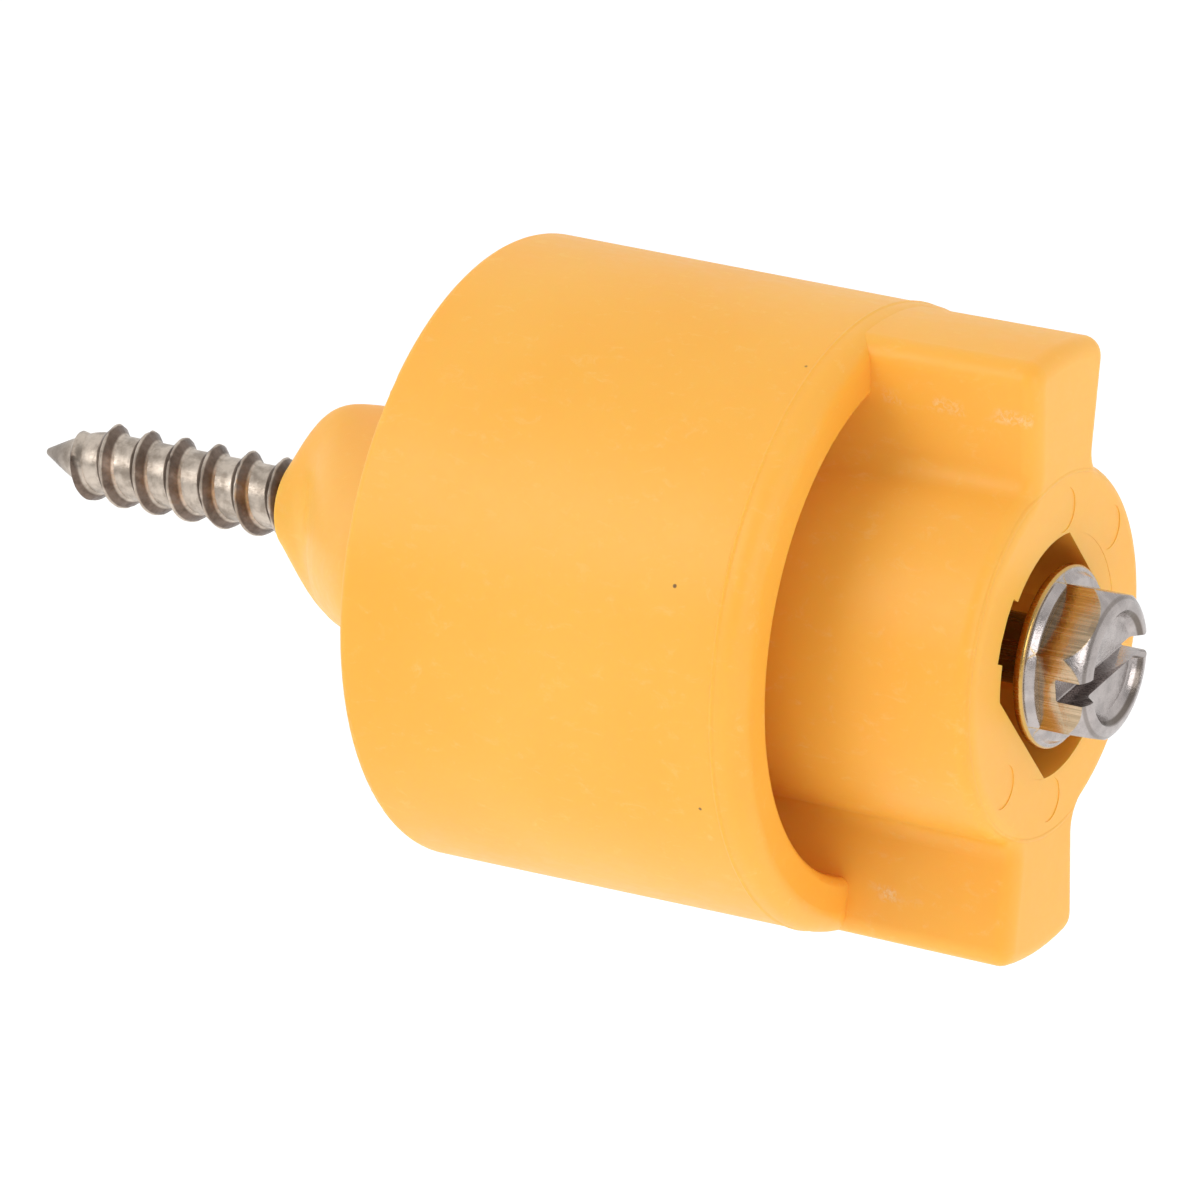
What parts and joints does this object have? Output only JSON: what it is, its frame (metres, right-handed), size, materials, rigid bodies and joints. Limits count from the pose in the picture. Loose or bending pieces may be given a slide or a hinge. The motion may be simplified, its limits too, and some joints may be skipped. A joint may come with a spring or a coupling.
{
  "type": "screw-on fence insulator",
  "caption": "Moulded round fence insulator with a hollow drum, hub, two wings and a tapered nose, held by a hex washer head wood screw through its middle.",
  "frame": {"origin": "middle of the nose's flat end, which stands against the post", "axes": "+X along the screw, out of the post towards its head; +Z through the upper wing; +Y across, to complete a right-handed frame"},
  "size_m": [0.0697, 0.0356, 0.0356],
  "materials": {
    "moulded_plastic": "semi-matte moulded polyethylene with faint flow flecks",
    "plated_steel": "bright zinc plate with a warm tint on the flats and duller threads"
  },
  "bodies": {
    "insulator": {"insulator_body": "moulded_plastic"},
    "screw": {"wood_screw": "plated_steel"}
  },
  "joints": [
    {"name": "screw_travel", "type": "slide", "parent": "insulator", "child": "screw", "axis": [1, 0, 0], "range_m": [-0.0076, 0.0176]}
  ]
}
